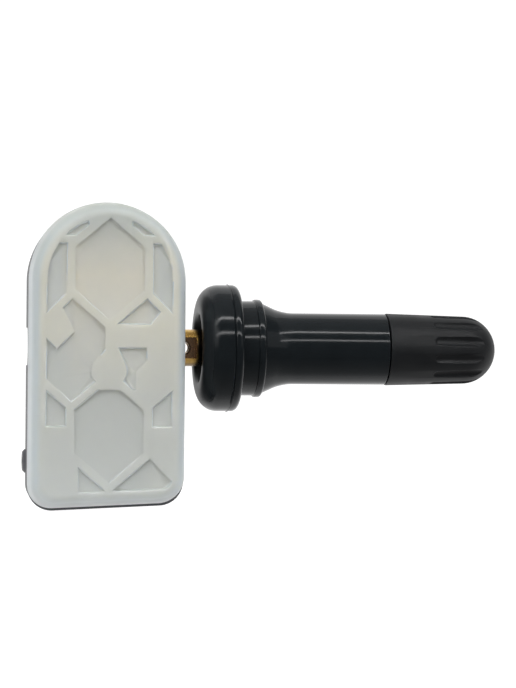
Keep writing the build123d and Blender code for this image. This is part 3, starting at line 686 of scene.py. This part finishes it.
def traceCase(name, s, inset, depth):
    # the outline of the case at a depth, drawn in by an inset, as one flat face
    half = s["half"] - inset
    rise = half * math.tan(math.radians(s["slope"]))
    foot = s["foot"] - inset
    arch = arcPoints((s["x"], s["arch"]), half, 0, 180, 48)
    line = [(s["x"] - half, -foot - rise), (s["x"] + half, -foot + rise), *arch]
    piece = traceLine(name, [(x * mm, depth * mm, z * mm) for x, z in line])
    closeLoop(piece)
    for side in (-1, 1):
        corner = ((s["x"] + side * half) * mm, depth * mm, (-foot + side * rise) * mm)
        roundCorner(piece, corner, (s["corner"] - inset) * mm, segments=12)
    pickObject(piece)
    bpy.ops.object.mode_set(mode="EDIT")
    bpy.ops.mesh.select_all(action="SELECT")
    bpy.ops.mesh.edge_face_add()
    bpy.ops.object.mode_set(mode="OBJECT")
    return piece


def drawOut(piece, depth, drawIn=0.0):
    # pulls the flat face along the case's depth, and shrinks the far end by a draft
    pickObject(piece)
    bpy.ops.object.mode_set(mode="EDIT")
    bpy.ops.mesh.select_all(action="SELECT")
    bpy.ops.mesh.extrude_region_move(TRANSFORM_OT_translate={"value": (0, depth * mm, 0)})
    if drawIn:
        size = piece.dimensions
        middle = sum((Vector(corner) for corner in piece.bound_box), Vector()) / 8
        bpy.ops.transform.resize(
            value=(1 - 2 * drawIn * mm / size.x, 1, 1 - 2 * drawIn * mm / size.z), center_override=middle)
    bpy.ops.object.mode_set(mode="OBJECT")
    weldAll(piece)


def makeLid(s):
    height = s["joint"] - s["face"] - s["seam"]
    lid = traceCase("weldedLid", s, 0, s["joint"])
    drawOut(lid, -height, height * math.tan(math.radians(s["draft"])))
    frontY = (s["joint"] - height) * mm
    pickVerts(lid, lambda point: abs(point.y - frontY) < 0.01 * mm)
    bpy.ops.mesh.bevel(offset=s["rounding"] * mm, segments=10, profile=0.5, affect="EDGES")
    bpy.ops.object.mode_set(mode="OBJECT")
    hollow = traceCase("hollow", s, s["wall"], s["joint"] + s["overrun"])
    drawOut(hollow, -(height - s["lidWall"] + s["overrun"]))
    cutWith(lid, hollow)
    pattern = traceCase("pattern", s, s["flatInset"], s["face"] + s["pocketRoom"])
    drawOut(pattern, -s["patternReach"])
    solid = copyNode("lid", "lidSolid")
    cutWith(pattern, solid)
    cutWith(lid, pattern)
    weldAll(lid, s["weld"] * mm)
    smoothShade(lid, angle=32)
    evenNormals(lid)
    return lid


weldedLid = makeLid(caseSize)
fit(weldedLid, "sensor", "lid", lidNylon)
print("lid made")


# housing: the CAD tray with its moulded edges softened

housingSize = {"edgeSoft": 0.22}


def makeHousing(s):
    tray = copyNode("housing", "caseTray", flatten=True)
    softenEdges(tray, s["edgeSoft"] * mm, angle=28)
    smoothShade(tray, angle=35)
    evenNormals(tray)
    return tray


caseTray = makeHousing(housingSize)
fit(caseTray, "sensor", "housing", caseNylon)
print("housing made")


# core spring: round wire about the pin

springSize = {
    "fixedEnd": 17.6, "movingEnd": 23.4, "gap": 0.02, "coil": 0.86, "wire": 0.12, "turns": 5, "steps": 24,
    "press": 1.5,
}


def makeSpring(s):
    start = s["fixedEnd"] + s["gap"] + s["wire"]
    rise = s["movingEnd"] - s["gap"] - s["wire"] - start
    leaveEditing()
    bpy.ops.mesh.primitive_circle_add(
        vertices=10, radius=s["wire"] * mm, location=(start * mm, 0, s["coil"] * mm),
        rotation=(math.radians(90), 0, 0))
    spring = bpy.context.object
    spring.name = "coreSpring"
    bpy.ops.object.transform_apply(location=True, rotation=True, scale=True)
    winding = spring.modifiers.new("winding", "SCREW")
    winding.axis = "X"
    winding.steps = s["steps"]
    winding.render_steps = s["steps"]
    winding.iterations = s["turns"]
    winding.screw_offset = rise / s["turns"] * mm
    bpy.ops.object.modifier_apply(modifier=winding.name)
    bpy.ops.object.mode_set(mode="EDIT")
    bpy.ops.mesh.select_all(action="SELECT")
    bpy.ops.mesh.fill_holes(sides=12)
    bpy.ops.object.mode_set(mode="OBJECT")
    weldAll(spring)
    smoothShade(spring, angle=50)
    return spring


coreSpring = makeSpring(springSize)
fit(coreSpring, "sensor", "core_spring", platedSteel)
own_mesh(coreSpring)
print("core spring made")


# pieces that stay as CAD solids get their finish

finishes = {
    "circuit_board": boardMask, "battery_cell": platedSteel, "battery_pad": foamPad,
    "battery_tab_positive": nickelStrip, "battery_tab_negative": nickelStrip, "sensor_chip": chipEpoxy,
    "port_seal": silicone, "coil_core": ferrite, "coil_winding": copperWinding, "crystal": nickelStrip,
    "chip_components": ceramic, "antenna": nickelStrip, "fixing_screw": platedSteel,
    "core_body": turnedBrass, "core_gasket": sealRubber, "core_pin": turnedBrass,
    "core_washer": sealRubber, "cap_seal": sealRubber,
}
for nodeName, finish in finishes.items():
    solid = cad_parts[nodeName]
    solid.data.materials.clear()
    solid.data.materials.append(finish)
print("finishes given")


# stage: pale sweep, two long tube lights above the front, soft fill, camera

stageSize = {
    "floorZ": -24.75, "width": 3000, "front": -2500, "split": 0, "bend": 500, "bendRadius": 300,
    "height": 1500, "glow": 0.93, "cardReach": 46, "cardLift": 0.05,
    "tubeAngles": (56.0, 28.0), "tubeReach": 600, "tubeLength": 1300, "tubeWidth": 40,
    "tubePowers": (2.2, 1.6), "ceilingPlace": (0, -150, 800), "ceilingTarget": (0, -150, 0),
    "ceilingWidth": 1400, "ceilingDepth": 1200, "ceilingPower": 1.9,
    "sideX": 550, "sideY": -450, "sideZ": 250, "sideTarget": (-10, 0, 0), "sideSize": 450,
    "sidePowers": (0.6, 0.3), "worldLight": 0.2,
}


def makePaper(glow):
    # opal panel lit from behind: even white with a hardly seen cloudiness, so shadows on it stay pale
    material, tree, shader, coords = newMaterial(
        "opal_panel_lit", Roughness=0.9, Emission_Color="#ffffff", Emission_Strength=glow)
    cloud = addNode(tree, "ShaderNodeTexNoise", {
        "Vector": coords["Object"], "Scale": perMillimetre(60.0), "Detail": 2})
    color = addNode(tree, "ShaderNodeValToRGB", {"Fac": cloud}, [(0.3, "#787878"), (0.7, "#7c7c7c")])
    feedNode(tree, shader, {"Base Color": color})
    return material


def makeSweep(s):
    paper = makePaper(s["glow"])
    corner = arcPoints((s["bend"], s["floorZ"] + s["bendRadius"]), s["bendRadius"], -90, 0, 16)
    lines = {
        "floorFront": [(s["front"], s["floorZ"]), (s["split"], s["floorZ"])],
        "floorSweep": [(s["split"], s["floorZ"]), *corner, (s["bend"] + s["bendRadius"], s["height"])],
    }
    for name, line in lines.items():
        sweep = traceLine(name, [(-s["width"] / 2 * mm, y * mm, z * mm) for y, z in line])
        pickObject(sweep)
        bpy.ops.object.mode_set(mode="EDIT")
        bpy.ops.mesh.select_all(action="SELECT")
        bpy.ops.mesh.extrude_region_move(TRANSFORM_OT_translate={"value": (s["width"] * mm, 0, 0)})
        bpy.ops.object.mode_set(mode="OBJECT")
        smoothShade(sweep, angle=60)
        sweep.data.materials.append(paper)
        # the front of the floor throws no light back, so what faces down stays dark
        if name == "floorFront":
            sweep.visible_diffuse = False
            sweep.visible_glossy = False


def makeCard(s):
    # dim card on the floor in front, brighter towards the object, that only the pieces see
    leaveEditing()
    bpy.ops.mesh.primitive_plane_add(
        size=1, location=(0, -s["cardReach"] / 2 * mm, (s["floorZ"] + s["cardLift"]) * mm))
    card = bpy.context.object
    card.name = "floorCard"
    card.scale = (s["width"] / 2 * mm, s["cardReach"] * mm, 1)
    bpy.ops.object.transform_apply(location=True, rotation=True, scale=True)
    material, tree, shader, coords = newMaterial(
        "card_lit", Base_Color="#404040", Roughness=0.9, Emission_Strength=1.0)
    spot = addNode(tree, "ShaderNodeSeparateXYZ", {"Vector": coords["Object"]}).outputs
    along = addNode(tree, "ShaderNodeMapRange", {
        "Value": spot["Y"], "From Min": -s["cardReach"] * mm, "From Max": 0})
    glow = addNode(tree, "ShaderNodeValToRGB", {"Fac": along}, [
        (0.0, "#404040"), (0.55, "#8c8c8c"), (0.85, "#c0c0c0"), (1.0, "#f0f0f0")])
    feedNode(tree, shader, {"Emission Color": glow})
    card.data.materials.append(material)
    card.visible_camera = False
    card.visible_shadow = False


def addPanel(name, place, target, width, height, power):
    leaveEditing()
    bpy.ops.object.light_add(type="AREA", location=[v * mm for v in place])
    panel = bpy.context.object
    panel.name = name
    panel.data.shape = "RECTANGLE"
    panel.data.size = width * mm
    panel.data.size_y = height * mm
    panel.data.energy = power
    aim = Vector([v * mm for v in target]) - panel.location
    panel.rotation_euler = aim.to_track_quat("-Z", "Y").to_euler()


def makeLights(s):
    for angle, power in zip(s["tubeAngles"], s["tubePowers"]):
        turn = math.radians(angle)
        place = (0, -s["tubeReach"] * math.cos(turn), s["tubeReach"] * math.sin(turn))
        addPanel("tube", place, (0, 0, 0), s["tubeLength"], s["tubeWidth"], power)
    addPanel("ceiling", s["ceilingPlace"], s["ceilingTarget"], s["ceilingWidth"], s["ceilingDepth"],
             s["ceilingPower"])
    for side, power in zip((-1, 1), s["sidePowers"]):
        place = (side * s["sideX"], s["sideY"], s["sideZ"])
        addPanel("side", place, s["sideTarget"], s["sideSize"], s["sideSize"], power)
    world = bpy.data.worlds.new("studio")
    bpy.context.scene.world = world
    world.use_nodes = True
    world.node_tree.nodes["Background"].inputs["Color"].default_value = (1, 1, 1, 1)
    world.node_tree.nodes["Background"].inputs["Strength"].default_value = s["worldLight"]


cameraSize = {
    "azimuth": -8.95, "elevation": 0.0, "roll": 0.5, "distance": 476, "target": (1.8, 0, 0.67),
    "lens": 163.97, "sensor": 36, "nearClip": 0.01, "farClip": 20,
}


def makeCamera(s):
    turn = math.radians(s["azimuth"])
    lift = math.radians(s["elevation"])
    target = Vector([v * mm for v in s["target"]])
    away = Vector((math.sin(turn) * math.cos(lift), -math.cos(turn) * math.cos(lift), math.sin(lift)))
    leaveEditing()
    bpy.ops.object.camera_add(location=target + away * s["distance"] * mm)
    camera = bpy.context.object
    facing = (-away).to_track_quat("-Z", "Y").to_matrix().to_4x4()
    facing.translation = camera.location
    camera.matrix_world = facing
    camera.rotation_euler.rotate_axis("Z", math.radians(s["roll"]))
    camera.data.sensor_fit = "VERTICAL"
    camera.data.sensor_height = s["sensor"]
    camera.data.lens = s["lens"]
    camera.data.clip_start = s["nearClip"]
    camera.data.clip_end = s["farClip"]
    bpy.context.scene.camera = camera


makeSweep(stageSize)
makeCard(stageSize)
makeLights(stageSize)
makeCamera(cameraSize)
bpy.context.scene.view_settings.view_transform = "Standard"
print("stage made")
